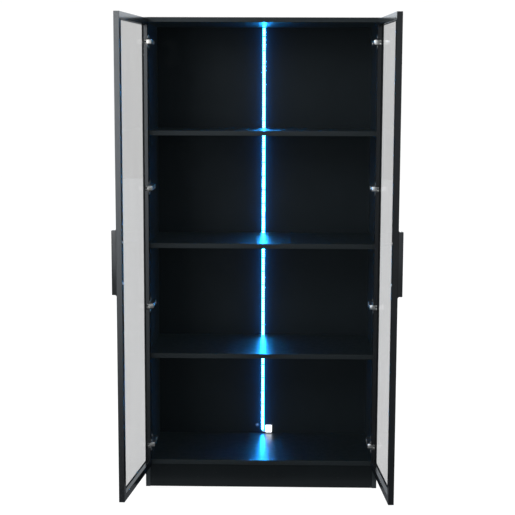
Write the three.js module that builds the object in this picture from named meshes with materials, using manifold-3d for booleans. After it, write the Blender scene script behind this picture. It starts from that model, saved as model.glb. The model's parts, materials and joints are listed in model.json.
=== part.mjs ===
// Display cabinet with two framed glass doors, four compartments and a light strip up the back.
// Millimetres. +Z is up, the doors open towards -Y, and the object stands on z = 0.
// Each door is built closed, as a left-hand door, and is then mirrored if needed and swung open.
import * as THREE from 'three';
import { ConvexGeometry } from 'three/addons/geometries/ConvexGeometry.js';
import { mergeVertices } from 'three/addons/utils/BufferGeometryUtils.js';
import Module from 'manifold-3d';

// Carcass. y = 0 is the front plane of the boards until the last step centres the object.
const WIDTH = 800;
const HEIGHT = 1605;
const BOARD = 16;
const CARCASS_DEPTH = 362;
const BACK_FACE_Y = 349;
const BACK_THICK = 5;
const GROOVE_DEEP = 5;
const GAP = 0.3;
const EDGE_CHAMFER = 0.8;
const PLINTH_HIGH = 80;
const PLINTH_SETBACK = 2;
const REAR_RAIL_Y = 326;
const SHELF_SETBACK = 1;
const SHELF_TOPS = { upper: 1231, middle: 851, lower: 471 };
const STRIP_NOTCH_HALF = 8;
const STRIP_NOTCH_DEEP = 7;
const CABLE_HOLE = { x: -20, z: 127, r: 5 };
const GROMMET = { bore: 1.6, flange: 6.4, flangeThick: 1, chamfer: 0.4, sides: 32 };

// Cutters run this far past the faces that they open. Corners closer than WELD are one corner.
const OVERRUN = 1;
const WELD = 1e-4;

// Light strip, and the connector that it ends in.
const STRIP_WIDE = 10;
const STRIP_THICK = 2.4;
const STRIP_Z = [107, 1587];
const STRIP_CHAMFER = 0.3;
const CONNECTOR = { x: [11, 34], z: [100, 126], deep: 10, chamfer: 1.2 };
const LEAD_WIDE = 4;
const LEAD_THICK = 1.6;
const LEAD_OFF_BACK = 0.4;
const LEAD_DROP = 1;
const LEAD_BEND_R = 1.2;

// Doors.
const DOOR_Z = [78, 1600];
const DOOR_SIDE_GAP = 2.5;
const DOOR_MEETING_GAP = 3;
const DOOR_FRONT_GAP = 3;
const DOOR_THICK = 18;
const FRAME_WIDE = 22;
const FRAME_CHAMFER = 0.5;
const SLOT_T = [11.6, 17];
const SLOT_DEEP = 6;
const GLASS_T = [12.8, 16];
const GLASS_UNDER_FRAME = 4.6;
const GASKET_WALL = 0.6;
const GASKET_PROUD = 0.4;
const LEFT_OPEN_DEG = 96.6;
const RIGHT_OPEN_DEG = 94;

// Edge pulls, on the outer face at the free edge, and the screws through the stile into them.
const PULL_LONG = 200;
const PULL_WIDE = 24;
const PULL_PROUD = 14.5;
const PULL_BASE = 3;
const PULL_LIP = 4.5;
const PULL_CORE = 13;
const PULL_CHAMFER = 0.8;
const PULL_FOOT = 3;
const PULL_FOOT_EDGE = 0.6;
const FOOT_STEPS = 6;
const PULL_SCREW_INSET = 7;
const PULL_SCREW_PITCH = 128;
const SCREW_R = 2;
const SCREW_HEAD_R = 4;
const SCREW_HEAD_HIGH = 1.8;
const SCREW_BITE = 8;
const SCREW_SIDES = 20;
const SCREW_TIP = { narrower: 0.6, long: 0.8 };
const SCREW_CROWN = [[1, 0.45], [0.75, 0.85], [0, 1]];

// Hinges. The pivot is set in from the door's hinge edge and from its inner face.
const PIVOT_INSET = 8;
const PIVOT_DEEP = 11.3;
const HINGE_OFFSETS = { top: 685, upper: 200.5, lower: -200.5, bottom: -685 };
const PIN_R = 1.5;
const KNUCKLE_R = 3.2;
const KNUCKLE_BORE_R = 1.8;
const ARM_HALF = 7.5;
const ARM_REACH = 23;
const ARM_BAND = [1.1, 4.1];
const ARM_LEG_FROM = 14.3;
const ARM_LONG = 78;
const ARM_OFF_PANEL = 2.8;
const ARM_BEND_CHAMFER = 1.5;
const ARM_NOSE = { deep: 4, long: 3 };
const ARM_TAIL_CHAMFER = 1;
const ARM_HEEL = { deep: 2, from: 1, to: 3 };
const ARM_SLOT = { from: 20, to: 62, half: 2.6, deep: 9 };
const POCKET_HALF = 9.1;
const POCKET_BED_GAP = 0.5;
const CUP_HALF = 8.8;
const CUP_WALL = 0.8;
const CUP_X = [-6.4, 7.6];
const CUP_FLOOR = -4.5;
const PIN_END_GAP = 0.1;
const LUG_X = [-4.5, 11.5];
const LUG_HIGH = 13;
const LUG_THICK = 1.2;
const PLATE_THICK = 2.2;
const PLATE_Y = [20, 68];
const PLATE_WING_Y = [30, 44];
const PLATE_HALF = { body: 8, wing: 25 };
const PLATE_HOLE = { z: 16, r: 2.4 };

const halfWidth = WIDTH / 2;
const insideX = halfWidth - BOARD;
const fitX = insideX - GAP;
const doorWide = (WIDTH - 2 * DOOR_SIDE_GAP - DOOR_MEETING_GAP) / 2;
const doorMidZ = (DOOR_Z[0] + DOOR_Z[1]) / 2;
const hingeEdgeX = -halfWidth + DOOR_SIDE_GAP;
const freeEdgeX = hingeEdgeX + doorWide;
const innerFaceY = -DOOR_FRONT_GAP;
const outerFaceY = innerFaceY - DOOR_THICK;
const pivot = { x: hingeEdgeX + PIVOT_INSET, y: innerFaceY - PIVOT_DEEP };

const wasm = await Module();
wasm.setup();

const look = (color, roughness, metalness = 0, extra = {}) =>
  new THREE.MeshStandardMaterial({ color, roughness, metalness, flatShading: true, ...extra });
const looks = {
  board: look(0x24282b, 0.45),
  back: look(0x1c2023, 0.5),
  frame: look(0x2a2e31, 0.4, 0.6),
  glass: look(0xdfe7ea, 0.05, 0, { transparent: true, opacity: 0.25 }),
  gasket: look(0x141617, 0.7),
  pull: look(0x25282a, 0.45, 0.6),
  nickel: look(0xc9c9c6, 0.28, 1),
  screw: look(0xb9b9b6, 0.3, 1),
  strip: look(0xdff6ff, 0.4, 0, { emissive: 0x35b8ff }),
  connector: look(0xf1f1ee, 0.4),
};

// Helpers for shapes.
const outline = (points) => new THREE.Shape(points.map(([x, y]) => new THREE.Vector2(x, y)));

const widened = ([from, to], by = OVERRUN) => [from - by, to + by];

const prism = (shape, from, to) =>
  new THREE.ExtrudeGeometry(shape, { depth: to - from, steps: 1, curveSegments: 12, bevelEnabled: false })
    .translate(0, 0, from);

const alongZ = (points, [z0, z1]) => prism(outline(points), z0, z1);
const yzToX = new THREE.Matrix4().set(0, 0, 1, 0, 1, 0, 0, 0, 0, 1, 0, 0, 0, 0, 0, 1);
const alongX = (points, [x0, x1]) => prism(outline(points), x0, x1).applyMatrix4(yzToX);
const xzToY = new THREE.Matrix4().set(1, 0, 0, 0, 0, 0, -1, 0, 0, 1, 0, 0, 0, 0, 0, 1);

function block([x0, x1], [y0, y1], [z0, z1], chamfer = EDGE_CHAMFER) {
  const points = [];
  for (const [x, sx] of [[x0, 1], [x1, -1]]) {
    for (const [y, sy] of [[y0, 1], [y1, -1]]) {
      for (const [z, sz] of [[z0, 1], [z1, -1]]) {
        points.push(new THREE.Vector3(x, y + sy * chamfer, z + sz * chamfer));
        points.push(new THREE.Vector3(x + sx * chamfer, y, z + sz * chamfer));
        points.push(new THREE.Vector3(x + sx * chamfer, y + sy * chamfer, z));
      }
    }
  }
  return new ConvexGeometry(points);
}

const box = ([x0, x1], [y0, y1], [z0, z1]) =>
  new THREE.BoxGeometry(x1 - x0, y1 - y0, z1 - z0).translate((x0 + x1) / 2, (y0 + y1) / 2, (z0 + z1) / 2);

function cylinderZ(r, [z0, z1], x, y, sides = 24) {
  const shape = new THREE.CylinderGeometry(r, r, z1 - z0, sides);
  return shape.rotateX(Math.PI / 2).translate(x, y, (z0 + z1) / 2);
}

function cylinderY(r, [y0, y1], x, z, sides = 24) {
  return new THREE.CylinderGeometry(r, r, y1 - y0, sides).translate(x, (y0 + y1) / 2, z);
}

// Joining and cutting.
function solid(geometry) {
  const bare = geometry.clone();
  bare.deleteAttribute('normal');
  bare.deleteAttribute('uv');
  const merged = mergeVertices(bare, WELD);
  return new wasm.Manifold(new wasm.Mesh({
    numProp: 3,
    vertProperties: Float32Array.from(merged.attributes.position.array),
    triVerts: Uint32Array.from(merged.index.array),
  }));
}

function surface(shape) {
  const mesh = shape.getMesh();
  const geometry = new THREE.BufferGeometry();
  geometry.setAttribute('position', new THREE.BufferAttribute(Float32Array.from(mesh.vertProperties), 3));
  geometry.setIndex(new THREE.BufferAttribute(Uint32Array.from(mesh.triVerts), 1));
  return geometry;
}

const joined = (...parts) => surface(parts.map(solid).reduce((a, b) => a.add(b)));
const cut = (part, ...tools) => surface(tools.map(solid).reduce((a, b) => a.subtract(b), solid(part)));

function mirrored(geometry) {
  const flat = geometry.index ? geometry.toNonIndexed() : geometry.clone();
  flat.deleteAttribute('normal');
  flat.deleteAttribute('uv');
  const p = flat.attributes.position;
  for (let i = 0; i < p.count; i += 3) {
    const [b, c] = [i + 1, i + 2].map((k) => [p.getX(k), p.getY(k), p.getZ(k)]);
    p.setXYZ(i, -p.getX(i), p.getY(i), p.getZ(i));
    p.setXYZ(i + 1, -c[0], c[1], c[2]);
    p.setXYZ(i + 2, -b[0], b[1], b[2]);
  }
  return flat;
}

const group = new THREE.Group();
group.name = 'china_cabinet_with_glass_doors';

function add(name, geometry, material) {
  const flat = geometry.index ? geometry.toNonIndexed() : geometry;
  flat.computeVertexNormals();
  const mesh = new THREE.Mesh(flat, material);
  mesh.name = name;
  group.add(mesh);
}

// Side panels, each with a groove for the back panel.
function sidePanel() {
  const grooveY = [BACK_FACE_Y - GAP, BACK_FACE_Y + BACK_THICK + GAP];
  const c = EDGE_CHAMFER;
  return alongZ([
    [-halfWidth + c, 0], [-insideX - c, 0], [-insideX, c],
    [-insideX, grooveY[0]], [-insideX - GROOVE_DEEP, grooveY[0]],
    [-insideX - GROOVE_DEEP, grooveY[1]], [-insideX, grooveY[1]],
    [-insideX, CARCASS_DEPTH - c], [-insideX - c, CARCASS_DEPTH],
    [-halfWidth + c, CARCASS_DEPTH], [-halfWidth, CARCASS_DEPTH - c], [-halfWidth, c],
  ], [0, HEIGHT - BOARD - GAP]);
}
add('side_panel_left', sidePanel(), looks.board);
add('side_panel_right', mirrored(sidePanel()), looks.board);

// The top lies over the side panels. Its groove holds the back panel's upper edge.
const topZ = [HEIGHT - BOARD, HEIGHT];
const backGrooveY = [BACK_FACE_Y - GAP, BACK_FACE_Y + BACK_THICK + GAP];
add('top_panel', cut(
  block([-halfWidth, halfWidth], [0, CARCASS_DEPTH], topZ),
  box([-insideX - GROOVE_DEEP, insideX + GROOVE_DEEP], backGrooveY,
    [topZ[0] - OVERRUN, topZ[0] + GROOVE_DEEP]),
), looks.board);

// The bottom, on its plinth. The back panel stands behind its rear edge.
const floorZ = PLINTH_HIGH + BOARD;
const insideRearY = BACK_FACE_Y - GAP;
add('bottom_panel', block([-fitX, fitX], [0, insideRearY], [PLINTH_HIGH, floorZ]), looks.board);
const plinthZ = [0, PLINTH_HIGH - GAP];
add('toe_kick', block([-fitX, fitX], [PLINTH_SETBACK, PLINTH_SETBACK + BOARD], plinthZ), looks.board);
add('plinth_rear_rail', block([-fitX, fitX], [REAR_RAIL_Y, REAR_RAIL_Y + BOARD], plinthZ), looks.board);

// Shelves. A notch in each rear edge lets the light strip run past.
for (const [name, top] of Object.entries(SHELF_TOPS)) {
  const notch = box(
    [-STRIP_NOTCH_HALF, STRIP_NOTCH_HALF], [insideRearY - STRIP_NOTCH_DEEP, insideRearY + OVERRUN],
    widened([top - BOARD, top]),
  );
  const board = block([-fitX, fitX], [SHELF_SETBACK, insideRearY], [top - BOARD, top]);
  add(`shelf_${name}`, cut(board, notch), looks.board);
}

// Back panel, with a hole for the supply cable.
const backX = insideX + GROOVE_DEEP - GAP;
add('back_panel', cut(
  box([-backX, backX], [BACK_FACE_Y, BACK_FACE_Y + BACK_THICK],
    [PLINTH_HIGH, topZ[0] + GROOVE_DEEP - GAP]),
  cylinderY(CABLE_HOLE.r, widened([BACK_FACE_Y, BACK_FACE_Y + BACK_THICK]), CABLE_HOLE.x, CABLE_HOLE.z),
), looks.back);

// Rubber grommet in the cable hole, with its flange on the inner face.
function grommet() {
  const { bore, flange, flangeThick, chamfer } = GROMMET;
  const shank = CABLE_HOLE.r - GAP;
  const rest = BACK_FACE_Y - GAP;
  const front = rest - flangeThick;
  const rear = BACK_FACE_Y + BACK_THICK;
  const profile = [
    [bore, rear], [bore, front], [flange - chamfer, front], [flange, front + chamfer], [flange, rest],
    [shank, rest], [shank, rear], [bore, rear],
  ].map(([x, y]) => new THREE.Vector2(x, y));
  return new THREE.LatheGeometry(profile, GROMMET.sides).translate(CABLE_HOLE.x, 0, CABLE_HOLE.z);
}
add('cable_grommet', grommet(), looks.gasket);

// Light strip, its connector, and the short flat lead that bends from one to the other.
const stripY = [insideRearY - STRIP_THICK, insideRearY];
add('led_strip', block([-STRIP_WIDE / 2, STRIP_WIDE / 2], stripY, STRIP_Z, STRIP_CHAMFER),
  looks.strip);
const connectorY = [insideRearY - CONNECTOR.deep, insideRearY];
add('led_connector', block(CONNECTOR.x, connectorY, CONNECTOR.z, CONNECTOR.chamfer), looks.connector);

function bentLead() {
  const from = STRIP_Z[0] - GAP;
  const end = CONNECTOR.x[0] - GAP;
  const half = LEAD_WIDE / 2;
  const centre = { x: half + LEAD_BEND_R, z: from - LEAD_DROP };
  const shape = new THREE.Shape();
  shape.moveTo(-half, from);
  shape.lineTo(-half, centre.z);
  shape.absarc(centre.x, centre.z, centre.x + half, Math.PI, 1.5 * Math.PI, false);
  shape.lineTo(end, centre.z - centre.x - half);
  shape.lineTo(end, centre.z - centre.x + half);
  shape.absarc(centre.x, centre.z, centre.x - half, 1.5 * Math.PI, Math.PI, true);
  shape.lineTo(half, from);
  shape.closePath();
  const rear = insideRearY - LEAD_OFF_BACK;
  return prism(shape, -rear, -rear + LEAD_THICK).applyMatrix4(xzToY);
}
add('led_lead', bentLead(), looks.connector);

// Mounting plates and arms, on the side panels. Each arm reaches round to a knuckle on the pivot.
function hingePlate(z) {
  const { body, wing } = PLATE_HALF;
  const shape = outline([
    [PLATE_Y[0], -body], [PLATE_WING_Y[0], -body], [PLATE_WING_Y[0], -wing],
    [PLATE_WING_Y[1], -wing], [PLATE_WING_Y[1], -body], [PLATE_Y[1], -body],
    [PLATE_Y[1], body], [PLATE_WING_Y[1], body], [PLATE_WING_Y[1], wing],
    [PLATE_WING_Y[0], wing], [PLATE_WING_Y[0], body], [PLATE_Y[0], body],
  ]);
  for (const side of [-1, 1]) {
    const hole = new THREE.Path();
    hole.absarc((PLATE_WING_Y[0] + PLATE_WING_Y[1]) / 2, side * PLATE_HOLE.z, PLATE_HOLE.r, 0, 2 * Math.PI);
    shape.holes.push(hole);
  }
  const from = -insideX + GAP;
  return prism(shape, from, from + PLATE_THICK).applyMatrix4(yzToX).translate(0, 0, z);
}

function hingeArm(z) {
  const span = [z - ARM_HALF, z + ARM_HALF];
  const { x, y } = pivot;
  const [bandFrom, bandTo] = ARM_BAND.map((v) => y + v);
  const farX = x + ARM_REACH;
  const nearX = -insideX + ARM_OFF_PANEL;
  const hook = alongZ([
    [x, bandFrom], [farX - ARM_BEND_CHAMFER, bandFrom], [farX, bandFrom + ARM_BEND_CHAMFER],
    [farX, ARM_LONG - ARM_NOSE.long], [farX - ARM_NOSE.deep, ARM_LONG],
    [nearX + ARM_TAIL_CHAMFER, ARM_LONG], [nearX, ARM_LONG - ARM_TAIL_CHAMFER],
    [nearX, ARM_HEEL.to], [nearX + ARM_HEEL.deep, ARM_HEEL.from],
    [x + ARM_LEG_FROM, ARM_HEEL.from], [x + ARM_LEG_FROM, bandTo], [x, bandTo],
  ], span);
  const knuckle = cylinderZ(KNUCKLE_R, span, x, y);
  const bore = cylinderZ(KNUCKLE_BORE_R, widened(span), x, y);
  const slot = box([farX - ARM_SLOT.deep, farX + OVERRUN], [ARM_SLOT.from, ARM_SLOT.to],
    [z - ARM_SLOT.half, z + ARM_SLOT.half]);
  return cut(joined(hook, knuckle), bore, slot);
}

for (const [place, offset] of Object.entries(HINGE_OFFSETS)) {
  const z = doorMidZ + offset;
  add(`hinge_plate_left_${place}`, hingePlate(z), looks.nickel);
  add(`hinge_plate_right_${place}`, mirrored(hingePlate(z)), looks.nickel);
  add(`hinge_arm_left_${place}`, hingeArm(z), looks.nickel);
  add(`hinge_arm_right_${place}`, mirrored(hingeArm(z)), looks.nickel);
}

// Door frame. The section runs from the outer edge (w = 0) to the glass, and from the inner face (t = 0).
function frameSection() {
  const c = FRAME_CHAMFER;
  const lip = FRAME_WIDE - SLOT_DEEP;
  return [
    [0, c], [c, 0], [FRAME_WIDE - c, 0], [FRAME_WIDE, c], [FRAME_WIDE, SLOT_T[0]], [lip, SLOT_T[0]],
    [lip, SLOT_T[1]], [FRAME_WIDE, SLOT_T[1]], [FRAME_WIDE, DOOR_THICK], [c, DOOR_THICK], [0, DOOR_THICK - c],
  ];
}

// A member with mitred ends, as a function of length along it, w and t.
function mitredMember(length, place) {
  const section = frameSection();
  const mitre = GAP / 2;
  const rings = [
    section.map(([w, t]) => place(w + mitre, w, t)),
    section.map(([w, t]) => place(length - w - mitre, w, t)),
  ];
  const n = section.length;
  const caps = THREE.ShapeUtils.triangulateShape(section.map(([w, t]) => new THREE.Vector2(w, t)), []);
  const corners = [...rings[0], ...rings[1]];
  const faces = caps.flatMap(([a, b, c]) => [[a, c, b], [n + a, n + b, n + c]]);
  for (let i = 0; i < n; i += 1) {
    const j = (i + 1) % n;
    faces.push([i, j, n + j], [i, n + j, n + i]);
  }
  const [a, b, c] = faces[0].map((k) => new THREE.Vector3(...corners[k]));
  const outward = new THREE.Vector3(...rings[0][0]).sub(new THREE.Vector3(...rings[1][0]));
  const normal = b.sub(a).cross(c.sub(a));
  const order = normal.dot(outward) > 0 ? [0, 1, 2] : [0, 2, 1];
  const geometry = new THREE.BufferGeometry();
  const positions = faces.flatMap((f) => order.flatMap((k) => corners[f[k]]));
  geometry.setAttribute('position', new THREE.Float32BufferAttribute(positions, 3));
  return geometry;
}

const hingeStile = () =>
  mitredMember(DOOR_Z[1] - DOOR_Z[0], (l, w, t) => [hingeEdgeX + w, innerFaceY - t, DOOR_Z[0] + l]);
const freeStile = () =>
  mitredMember(DOOR_Z[1] - DOOR_Z[0], (l, w, t) => [freeEdgeX - w, innerFaceY - t, DOOR_Z[0] + l]);
const bottomRail = () => mitredMember(doorWide, (l, w, t) => [hingeEdgeX + l, innerFaceY - t, DOOR_Z[0] + w]);
const topRail = () => mitredMember(doorWide, (l, w, t) => [hingeEdgeX + l, innerFaceY - t, DOOR_Z[1] - w]);

// The pocket in the hinge stile opens to the inner face and, for the arm of a shut door, to the glass side.
function hingePocket(z) {
  const span = [z - POCKET_HALF, z + POCKET_HALF];
  const { x, y } = pivot;
  const bed = y + ARM_BAND[0] - POCKET_BED_GAP;
  const mouth = innerFaceY + OVERRUN;
  return [
    box([x + CUP_X[0] - GAP, x + CUP_X[1] + GAP], [y + CUP_FLOOR - GAP, mouth], span),
    box([x, hingeEdgeX + FRAME_WIDE + OVERRUN], [bed, mouth], span),
  ];
}

// The cup's end walls run out past the stile's face and turn into the two screw lugs.
function hingeCup(z) {
  const { x, y } = pivot;
  const cupX = CUP_X.map((v) => x + v);
  const lugX = LUG_X.map((v) => x + v);
  const lugY = [innerFaceY + GAP, innerFaceY + GAP + LUG_THICK];
  const parts = [
    box(cupX, [y + CUP_FLOOR, y + CUP_FLOOR + CUP_WALL], [z - CUP_HALF, z + CUP_HALF]),
    cylinderZ(PIN_R, [z - CUP_HALF + PIN_END_GAP, z + CUP_HALF - PIN_END_GAP], x, y),
  ];
  for (const side of [-1, 1]) {
    const wall = [z + side * CUP_HALF, z + side * (CUP_HALF - CUP_WALL)].sort((a, b) => a - b);
    const lug = [z + side * (CUP_HALF - CUP_WALL), z + side * (CUP_HALF + LUG_HIGH)].sort((a, b) => a - b);
    parts.push(box(cupX, [y + CUP_FLOOR, innerFaceY], wall));
    parts.push(box([lugX[0], cupX[1]], [innerFaceY - OVERRUN, lugY[1]], wall));
    parts.push(box(lugX, lugY, lug));
  }
  return joined(...parts);
}

// Edge pull: an extrusion with a finger groove along its hinge side, and a small foot at each end.
const pullZ = [doorMidZ - PULL_LONG / 2, doorMidZ + PULL_LONG / 2];
const pullBackY = outerFaceY - GAP;
const pullScrewX = freeEdgeX - PULL_SCREW_INSET;
const pullScrewZs = [doorMidZ - PULL_SCREW_PITCH / 2, doorMidZ + PULL_SCREW_PITCH / 2];
const screwTipY = outerFaceY - SCREW_BITE;

function pullFoot(endZ) {
  const out = Math.sign(endZ - doorMidZ);
  const centre = { y: pullBackY - PULL_FOOT, z: endZ + out * PULL_FOOT };
  const r = PULL_FOOT - PULL_FOOT_EDGE;
  const curve = [];
  for (let step = 0; step <= FOOT_STEPS; step += 1) {
    const turn = (Math.PI / 2) * (step / FOOT_STEPS);
    curve.push([centre.y + r * Math.cos(turn), centre.z - out * r * Math.sin(turn)]);
  }
  return alongX([
    [pullBackY, endZ - out * OVERRUN], [pullBackY, centre.z], ...curve, [centre.y, endZ - out * OVERRUN],
  ], [freeEdgeX - PULL_WIDE, freeEdgeX]);
}

function edgePull() {
  const at = (a, b) => [freeEdgeX - a, pullBackY - b];
  const lipFrom = PULL_PROUD - PULL_LIP;
  const c = PULL_CHAMFER;
  const bar = alongZ([
    at(0, 0), at(0, PULL_PROUD - c), at(c, PULL_PROUD), at(PULL_WIDE - c, PULL_PROUD),
    at(PULL_WIDE, PULL_PROUD - c), at(PULL_WIDE, lipFrom + c), at(PULL_WIDE - c, lipFrom),
    at(PULL_CORE, lipFrom), at(PULL_CORE, PULL_BASE), at(PULL_WIDE, PULL_BASE), at(PULL_WIDE, 0),
  ].reverse(), pullZ);
  const holes = pullScrewZs.map((z) =>
    cylinderY(SCREW_R + GAP, widened([screwTipY, outerFaceY]), pullScrewX, z, SCREW_SIDES));
  return cut(joined(bar, ...pullZ.map(pullFoot)), ...holes);
}

const screwHoles = () => pullScrewZs.map((z) =>
  cylinderY(SCREW_R + GAP, widened([outerFaceY, innerFaceY]), pullScrewX, z, SCREW_SIDES));

function pullScrew(z) {
  const head = innerFaceY + GAP;
  const profile = [
    [0, screwTipY], [SCREW_R - SCREW_TIP.narrower, screwTipY], [SCREW_R, screwTipY + SCREW_TIP.long],
    [SCREW_R, head], [SCREW_HEAD_R, head],
    ...SCREW_CROWN.map(([across, up]) => [across * SCREW_HEAD_R, head + up * SCREW_HEAD_HIGH]),
  ].map(([x, y]) => new THREE.Vector2(x, y));
  return new THREE.LatheGeometry(profile, SCREW_SIDES).translate(pullScrewX, 0, z);
}

// The pane and the thin rubber channel round its edge.
const paneX = [hingeEdgeX + FRAME_WIDE - GLASS_UNDER_FRAME, freeEdgeX - FRAME_WIDE + GLASS_UNDER_FRAME];
const paneZ = [DOOR_Z[0] + FRAME_WIDE - GLASS_UNDER_FRAME, DOOR_Z[1] - FRAME_WIDE + GLASS_UNDER_FRAME];
const paneY = GLASS_T.map((t) => innerFaceY - t).reverse();

function gasket() {
  const about = (by, through = by) => box(widened(paneX, by), widened(paneY, through), widened(paneZ, by));
  const channel = about(GAP);
  const sight = about(-GLASS_UNDER_FRAME - GASKET_PROUD, GAP + GASKET_WALL + OVERRUN);
  return cut(about(GAP + GASKET_WALL), channel, sight);
}

// A door's pieces, closed and left-handed.
function doorPieces() {
  const pockets = Object.values(HINGE_OFFSETS).flatMap((offset) => hingePocket(doorMidZ + offset));
  const pieces = [
    ['stile_hinge', cut(hingeStile(), ...pockets), looks.frame],
    ['stile_free', cut(freeStile(), ...screwHoles()), looks.frame],
    ['rail_top', topRail(), looks.frame],
    ['rail_bottom', bottomRail(), looks.frame],
    ['glass', box(paneX, paneY, paneZ), looks.glass],
    ['glazing_gasket', gasket(), looks.gasket],
    ['pull', edgePull(), looks.pull],
    ['pull_screw_lower', pullScrew(pullScrewZs[0]), looks.screw],
    ['pull_screw_upper', pullScrew(pullScrewZs[1]), looks.screw],
  ];
  for (const [place, offset] of Object.entries(HINGE_OFFSETS)) {
    pieces.push([`hinge_cup_${place}`, hingeCup(doorMidZ + offset), looks.nickel]);
  }
  return pieces;
}

function swing(geometry, x, y, degrees) {
  const turn = THREE.MathUtils.degToRad(degrees);
  return geometry.translate(-x, -y, 0).rotateZ(turn).translate(x, y, 0);
}

for (const [name, shape, material] of doorPieces()) {
  add(`left_${name}`, swing(shape.clone(), pivot.x, pivot.y, -LEFT_OPEN_DEG), material);
  add(`right_${name}`, swing(mirrored(shape), -pivot.x, pivot.y, RIGHT_OPEN_DEG), material);
}

// The origin is the middle of the open object's footprint, on the floor.
const bounds = new THREE.Box3().setFromObject(group, true);
const middle = bounds.getCenter(new THREE.Vector3());
for (const mesh of group.children) {
  mesh.geometry.translate(-middle.x, -middle.y, -bounds.min.z);
}

export default group;
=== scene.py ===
"""Looks of the display cabinet: materials, fine shapes of the fittings, studio and camera."""
import json
import math

import bmesh
import bpy
from mathutils import Matrix, Vector


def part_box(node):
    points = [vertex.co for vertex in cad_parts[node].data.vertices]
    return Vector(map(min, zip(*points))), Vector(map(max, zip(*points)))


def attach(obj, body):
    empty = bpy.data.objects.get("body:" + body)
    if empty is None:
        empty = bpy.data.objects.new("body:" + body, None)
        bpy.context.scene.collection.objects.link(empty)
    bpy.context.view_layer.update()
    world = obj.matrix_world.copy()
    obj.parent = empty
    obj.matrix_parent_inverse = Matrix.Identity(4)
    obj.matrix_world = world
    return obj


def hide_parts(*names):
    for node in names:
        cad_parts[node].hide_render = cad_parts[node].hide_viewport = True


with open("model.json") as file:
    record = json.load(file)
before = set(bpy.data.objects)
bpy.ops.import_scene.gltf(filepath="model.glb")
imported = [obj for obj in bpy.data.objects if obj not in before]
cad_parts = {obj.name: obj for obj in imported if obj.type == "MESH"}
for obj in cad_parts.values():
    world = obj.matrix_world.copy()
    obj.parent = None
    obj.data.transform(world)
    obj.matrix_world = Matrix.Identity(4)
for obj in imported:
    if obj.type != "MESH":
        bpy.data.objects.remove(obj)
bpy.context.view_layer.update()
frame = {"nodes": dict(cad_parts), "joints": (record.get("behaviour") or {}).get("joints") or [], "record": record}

MM = 0.001
SIDES = ("left", "right")
PLACES = ("top", "upper", "lower", "bottom")

# Places taken from the frame, in metres.
top_low, top_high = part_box("top_panel")
strip_low, strip_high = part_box("led_strip")
middle_x = (top_low.x + top_high.x) / 2
front_y = top_low.y
inside_x = {"left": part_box("side_panel_left")[1].x, "right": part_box("side_panel_right")[0].x}
hinges = {j["child"].split("_")[0]: j for j in frame["joints"]}


# ---------------------------------------------------------------- materials
# Colours are linear. A noise's scale is in cells per metre, and a relief's depth is in metres.

MIX_A, MIX_B, MIX_RESULT = 6, 7, 2      # the colour sockets of a Mix node
NOISE_MIDDLE = (0.3, 0.7)               # the part of a noise's range that is mapped

BOARD_TINT = (0.86, 0.95, 1.0, 1)
FILL_COLOUR = (0.62, 0.9, 1.0, 1)
DUST_COLOUR = (0.2, 0.21, 0.22, 1)
DUST_RANGE = (0.79, 0.84)
DUST_COVER = 0.5

GLASS_FACING_RANGE = (0.25, 0.75)
GLASS_ALPHA = (0.05, 0.28)
GLASS_MARKS = 0.008

# The strip's light. Each fade runs from the first to the second distance, in metres.
STRIP_COLOUR = (0.014, 0.32, 1.0, 1)
STRIP_POWER = 150
CUT_PITCH = 0.05
CHIP_PITCH = CUT_PITCH / 6
CUT_FADE = (0.002, 0.004)
CUT_POWER = 0.002 * STRIP_POWER
CHIP_FADE = (0.0012, 0.0024)
SIDE_FADE = (0.0035, 0.0052)
DIM = 0.01
# The connector's glow is painted light: its plastic gives off light though no lamp is in it.
CONNECTOR_PAINTED_GLOW = 2.6


def node(tree, kind, inputs=None, **settings):
    """Adds a node. An input is a value or the socket that feeds it."""
    made = tree.nodes.new(kind)
    for key, value in settings.items():
        setattr(made, key, value)
    for key, value in (inputs or {}).items():
        if isinstance(value, bpy.types.NodeSocket):
            tree.links.new(value, made.inputs[key])
        else:
            made.inputs[key].default_value = value
    return made


def principled(name, **sockets):
    """A new material and its shader. Socket names are written with _ for a space."""
    material = bpy.data.materials.new(name)
    material.use_nodes = True
    shader = material.node_tree.nodes["Principled BSDF"]
    for key, value in sockets.items():
        shader.inputs[key.replace("_", " ")].default_value = value
    return material, material.node_tree, shader


def combined(tree, operation, first, second=0.0):
    return node(tree, "ShaderNodeMath", {0: first, 1: second}, operation=operation).outputs["Value"]


def stepped(tree, value, from_low, from_high, low, high, kind="LINEAR"):
    """Maps value from one range to another and holds it at the ends."""
    made = node(tree, "ShaderNodeMapRange", {
        "Value": value, "From Min": from_low, "From Max": from_high, "To Min": low, "To Max": high},
        interpolation_type=kind)
    return made.outputs["Result"]


def noise(tree, scale, detail=2.0, stretch=(1, 1, 1)):
    """A noise, drawn out along each axis where stretch is below 1."""
    place = node(tree, "ShaderNodeTexCoord").outputs["Object"]
    mapped = node(tree, "ShaderNodeMapping", {"Vector": place, "Scale": stretch}).outputs["Vector"]
    made = node(tree, "ShaderNodeTexNoise", {"Vector": mapped, "Scale": scale, "Detail": detail})
    return made.outputs["Fac"]


def spread(tree, value, low, high):
    """Maps the middle of a noise's range to low..high."""
    return stepped(tree, value, *NOISE_MIDDLE, low, high)


def mixed(tree, factor, first, second):
    """The first colour at a factor of 0, and the second at 1."""
    made = node(tree, "ShaderNodeMix", {"Factor": factor, MIX_A: first, MIX_B: second}, data_type="RGBA")
    return made.outputs[MIX_RESULT]


def tinted(tree, cloud, dark, light):
    """A colour that drifts between dark and light with a noise."""
    return mixed(tree, spread(tree, cloud, 0, 1), (*dark, 1), (*light, 1))


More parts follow.
